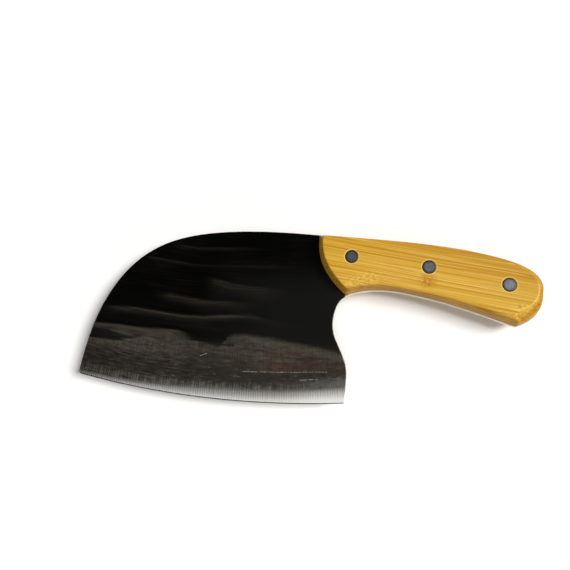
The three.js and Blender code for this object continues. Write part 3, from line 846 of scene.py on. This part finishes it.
def turnedSurface(profile, place):
    # a profile of radius and height, from pole to pole, spun round a rivet's axis
    profile, sides = np.array(profile, float), rivet["sides"]
    angles = np.arange(sides) * 2 * np.pi / sides
    body = profile[1:-1]
    ring = np.stack([np.outer(body[:, 0], np.cos(angles)), np.outer(body[:, 0], np.sin(angles)),
                     np.repeat(body[:, 1:], sides, axis=1)], axis=-1).reshape(-1, 3)
    points = np.concatenate([ring, [[0, 0, profile[0, 1]], [0, 0, profile[-1, 1]]]]) + (*place, 0)
    index = np.arange(len(ring)).reshape(len(body), sides)
    first, last = np.full(sides, len(ring)), np.full(sides, len(ring) + 1)
    lowFan = np.stack([first, np.roll(index[0], -1), index[0]], axis=-1)
    highFan = np.stack([last, index[-1], np.roll(index[-1], -1)], axis=-1)
    return points, loopFaces(index[::-1]).tolist() + lowFan.tolist() + highFan.tolist()


def rivetBore(place):
    # a seat for each head, flared at its mouth and cut past the wood, and the shank's hole between them
    wide, narrow, flare, past = rivet["seat"], rivet["shank"], rivet["seatFlare"], rivet["cutPast"]
    mouth = wide + flare + past
    low = [(0, -past), (mouth, -past), (wide, flare), (wide, seatDepth), (narrow, seatDepth)]
    high = [(radius, handleTop - height) for radius, height in low[::-1]]
    return turnedSurface(low + high, place)


def drill(piece):
    # the three stepped rivet holes, cut for good so that the piece carries no modifier
    cutters = []
    for place in rivet["places"].values():
        points, faces = rivetBore(place)
        cutters.append(addObject("bore", newMesh("bore", points * mm, faces)))
        cut = piece.modifiers.new("bore", "BOOLEAN")
        cut.operation, cut.solver, cut.object = "DIFFERENCE", "MANIFOLD", cutters[-1]
    whole = piece.data
    bored = bpy.data.meshes.new_from_object(piece.evaluated_get(bpy.context.evaluated_depsgraph_get()))
    piece.modifiers.clear()
    piece.data = bored
    bored.name = piece.name
    bpy.data.meshes.remove(whole)
    for cutter in cutters:
        bpy.data.meshes.remove(cutter.data)
    shade(bored)


# The scales' wood

wood = {
    "light": (0.61, 0.36, 0.046), "main": (0.53, 0.275, 0.018), "streak": (0.39, 0.178, 0.009),
    "vein": (0.34, 0.15, 0.012), "knot": (0.44, 0.205, 0.012), "spot": (0.27, 0.115, 0.010),
    # flank and flankLight are painted shade for the scales' sides; ridge is a pale tone, also used for a
    # painted highlight on the facet's crest
    "ridge": (0.92, 0.70, 0.22), "flank": (0.27, 0.115, 0.008), "flankLight": (0.40, 0.205, 0.018),
    "sway": 2,  # how far the grain wanders
    "noises": {  # cycles per mm along the handle, across it and through it, detail, roughness
        "bands": (0.004, 0.25, 0.25, 2, 0.55),
        "fibres": (0.006, 0.95, 0.8, 1, 0.4),
        "hairs": (0.012, 2.3, 1.8, 1, 0.4),
        "veins": (0.006, 0.8, 0.8, 1, 0.55),
        "flecks": (0.85, 1.05, 1.05, 2, 0.55),
    },
    "knotPlace": (21.2, -5.4), "spots": [(19.6, -6.4), (22.0, -7.6), (68.0, -10.3)],
    "fleckPlace": (-13.5, -12.8), "fleckLean": 25, "fleckStretch": 2.8, "buttFlecks": (71, -13),
    "specular": 0.07, "coat": 0.12, "coatRough": 0.2,
}


def varnishedWood():
    s = Sheet(bpy.data.materials.new("varnishedWood"))
    x, y, z = s.place()
    wander = (s.noise(x * 0.012, y * 0.03, z * 0.03, detail=1) - 0.5) * wood["sway"]
    across, deep = y + wander, z + wander
    bands, fibres, hairs, veins, flecks = [
        s.noise(x * along, across * over, deep * through, detail, rough)
        for along, over, through, detail, rough in wood["noises"].values()
    ]

    def near(px, py):
        return ((x - px) ** 2 + (y - py) ** 2) ** 0.5

    lean = math.radians(wood["fleckLean"])
    px, py = wood["fleckPlace"]
    fleckRun = ((x - px) * math.cos(lean) + (y - py) * math.sin(lean)) * (1 / wood["fleckStretch"])
    fleckSide = (y - py) * math.cos(lean) - (x - px) * math.sin(lean)
    collarFlecks = s.step((fleckRun ** 2 + fleckSide ** 2) ** 0.5, 6.5, 2)
    ends = (collarFlecks + s.step(near(*wood["buttFlecks"]), 9, 3) * 0.7).math("MINIMUM", 1.0)
    knot = s.step(near(*wood["knotPlace"]) + (flecks - 0.5) * 8, 6.2, 2.0) * s.step(flecks, 0.34, 0.54)

    colour = s.layers(wood["main"], wood, [
        (s.step(fibres + (bands - 0.5) * 0.3 - y * 0.005, 0.32, 0.64), "light"),
        (s.step(fibres, 0.47, 0.31) * 0.36, "streak"),
        (s.step(y + x * 0.12 + (bands - 0.5) * 14, 2, 22) * 0.5, "streak"),
        (s.step((veins - 0.5).math("ABSOLUTE"), 0.018, 0.004) * 0.35, "vein"),
        (s.step(hairs, 0.50, 0.34) * 0.24, "streak"),
        (s.step(hairs, 0.56, 0.68) * 0.30, "ridge"),
        (s.step(flecks, 0.46, 0.62) * ends * 0.26, "ridge"),
        (s.step(flecks, 0.46, 0.34) * ends * 0.3, "streak"),
        (knot * 0.9, "knot"),
        *[(s.step(near(*spot) + (flecks - 0.5) * 1.2, 1.0, 0.3) * 0.5, "spot") for spot in wood["spots"]],
        # rubbed pale round each rivet
        *[(s.step(near(*place), 4.6, 3.8) * 0.4, "ridge") for place in rivet["places"].values()],
    ])
    # painted shade for the sides that face away from the light, lighter along some fibres
    paintedShade = s.mix(s.step(fibres * 0.6 + hairs * 0.4, 0.36, 0.62), wood["flank"], wood["flankLight"])
    colour = s.mix(s.value("flank") * 0.88, colour, paintedShade)
    # the facet's crest: worn varnish, partly a painted highlight
    colour = s.mix(s.value("ridge") * 0.3, colour, wood["ridge"])
    s.set({"Base Color": colour, "Roughness": 0.42 + (0.5 - fibres) * 0.15,
           "Specular IOR Level": wood["specular"], "Coat Weight": wood["coat"],
           "Coat Roughness": wood["coatRough"], "Normal": s.bump(fibres * 0.012 + hairs * 0.008, 0.4)})
    return s.holder


drill(forgedBlade)
print("blade:", len(forgedBlade.data.polygons), "faces after drilling")
woodMaterial = varnishedWood()
for label, side in (("upper", 1), ("lower", -1)):
    points, faces, values = scaleSurface(side)
    made = makePiece(label + "Scale", points, faces, woodMaterial, label + "_scale", values)
    drill(made)
    print(label, "scale:", len(made.data.polygons), "faces")


# Rivets: turned heads with a soft rim, on a pin that goes into a tube

rivetSteel = {
    # rim: a painted dark, brownish ring standing in for the gap's shade and the wood's reflection
    "face": (0.135, 0.145, 0.170), "dull": (0.07, 0.07, 0.076), "rim": (0.06, 0.045, 0.033),
    "rimFrom": 2.0, "rimTo": 3.2,  # radii over which the face darkens to a painted dark ring, the gap's shade and the wood's reflection
}


def groundRivet():
    s = Sheet(bpy.data.materials.new("groundRivet"))
    x, y, z = s.place()
    scuffs = s.noise(x * 0.5, y * 3.2, z * 0.5, detail=4)
    mottle = s.noise(x * 0.9, y * 0.9, z * 0.9)
    radius = s.value("radius") + (mottle - 0.5) * 0.5
    colour = s.layers(rivetSteel["face"], rivetSteel, [
        (s.step(mottle, 0.35, 0.65) * 0.5, "dull"),
        # painted shade and painted reflection at the head's rim
        (s.step(radius, rivetSteel["rimFrom"], rivetSteel["rimTo"]), "rim"),
    ])
    s.set({"Base Color": colour, "Metallic": 1.0, "Roughness": 0.38 + scuffs * 0.16,
           "Normal": s.bump(scuffs * 0.012, 0.5)})
    return s.holder


def headFace(top, up):
    # from the head's side, over its rounded rim and across its face to the axis
    turn = np.radians(np.linspace(0, 90, rivet["rimSteps"] + 1))
    radius = rivet["head"] - rivet["rim"] * (1 - np.cos(turn))
    height = top - up * rivet["rimDrop"] * (1 - np.sin(turn))
    return [*zip(radius, height), *[(ring, top) for ring in rivet["faceRings"]], (0, top)]


def rivetProfiles():
    pin, tube, bore, head, chamfer = [rivet[key] for key in ("pin", "tube", "bore", "head", "pinChamfer")]
    tubeFloor = seatDepth + rivet["floor"]
    pinEnd = tubeFloor + rivet["pinShort"]
    tubeEnd = seatTop - rivet["tubeShort"]
    pinSide = [(0, pinEnd), (pin - chamfer, pinEnd), (pin, pinEnd + chamfer), (pin, seatTop),
               (head, seatTop)]
    tubeSide = [(head, seatDepth), (tube, seatDepth), (tube, tubeEnd), (bore, tubeEnd), (bore, tubeFloor),
                (0, tubeFloor)]
    return {
        "pin": pinSide + headFace(handleTop - rivet["sunk"], 1),
        "tube": headFace(rivet["sunk"], -1)[::-1] + tubeSide,
    }


rivetMaterial = groundRivet()
for half, profile in rivetProfiles().items():
    for label, place in rivet["places"].items():
        points, faces = turnedSurface(profile, place)
        radius = np.linalg.norm(points[:, :2] - place, axis=1)
        makePiece(label + half.capitalize(), points, faces, rivetMaterial,
                  f"{label}_rivet_{half}", {"radius": radius})
print("rivets: three pins and three tubes")


# Floor and light

stage = {
    "floor": (0.95, 0.947, 0.943), "floorShade": 0.985, "reach": 3.0,
    "sky": [  # colour by height over the horizon
        (0.0, (0.62, 0.63, 0.64)), (0.16, (0.50, 0.51, 0.52)), (0.55, (0.02, 0.02, 0.02)),
    ],
    "lamps": {  # place and target in metres, width, depth, power, colour
        "key": ((3.6, 1.25, 3.75), (0.0, -0.03, 0.0), 2.2, 2.2, 352.0, (1.0, 0.98, 0.95)),
        "front": ((-0.06, -0.49, 0.92), (-0.05, -0.07, 0.0), 1.06, 0.42, 1.6, (1.0, 1.0, 0.98)),
        "fill": ((-0.33, -0.175, 0.9), (-0.08, -0.07, 0.0), 0.60, 0.17, 0.08, (1.0, 0.96, 0.88)),
        "side": ((-0.95, 0.05, 0.32), (0.0, -0.02, 0.0), 0.5, 0.4, 1.8, (1.0, 0.98, 0.95)),
        "low": ((0.40, -0.85, 0.26), (0.02, -0.02, 0.0), 0.5, 0.3, 1.8, (1.0, 0.98, 0.95)),
        "panel": ((0.18, 0.16, 0.9), (0.18, 0.16, 0.0), 0.38, 0.16, 0.45, (0.93, 0.97, 1.0)),
    },
}


def makeFloor():
    s = Sheet(bpy.data.materials.new("paleFloor"))
    x, y, z = s.place()
    shaded = [channel * stage["floorShade"] for channel in stage["floor"]]
    colour = s.mix(s.noise(x * 0.01, y * 0.01, z), stage["floor"], shaded)
    s.set({"Base Color": colour, "Roughness": 0.9, "Specular IOR Level": 0.1})
    reach = stage["reach"]
    corners = [(-reach, -reach, 0), (reach, -reach, 0), (reach, reach, 0), (-reach, reach, 0)]
    mesh = newMesh("floor", corners, [(0, 1, 2, 3)])
    mesh.materials.append(s.holder)
    floor = addObject("floor", mesh)


def makeSky():
    s = Sheet(bpy.data.worlds.new("studio"), "Background")
    height = s.node("SeparateXYZ", sockets={0: s.node("TexCoord", out="Generated")}, out="Z")
    s.set({"Color": s.node("ValToRGB", {"stops": stage["sky"]}, {0: height})})
    bpy.context.scene.world = s.holder


def stand(made, place, *axes):
    made.matrix_world = Matrix.Translation(place) @ Matrix(axes).transposed().to_4x4()


def makeLamps():
    for name, (place, target, width, depth, power, colour) in stage["lamps"].items():
        data = bpy.data.lights.new(name, "AREA")
        data.shape = "RECTANGLE"
        data.size, data.size_y = width, depth
        data.energy, data.color = power, colour
        back = (Vector(place) - Vector(target)).normalized()
        right = Vector((0, 1, 0)).cross(back).normalized()  # a lamp's width lies along the knife
        stand(addObject(name, data), place, right, back.cross(right), back)


makeFloor()
makeSky()
makeLamps()
bpy.context.scene.view_settings.view_transform = "Standard"
print("stage: floor and", len(stage["lamps"]), "lamps")


# Camera at the photograph's angle

camera = {
    "place": (-5.918, -56.067, 285.168),
    "right": (0.967085, 0.209356, -0.144626),
    "down": (0.186581, -0.969913, -0.156388),
    "focal": 497.18, "image": 570, "sensor": 36, "clip": 0.01,
}


def makeCamera():
    data = bpy.data.cameras.new("camera")
    data.sensor_width = camera["sensor"]
    data.lens = camera["focal"] / camera["image"] * camera["sensor"]
    data.clip_start = camera["clip"]
    right, down = Vector(camera["right"]), Vector(camera["down"])
    made = addObject("camera", data)
    stand(made, Vector(camera["place"]) * mm, right, -down, right.cross(-down))
    bpy.context.scene.camera = made


makeCamera()
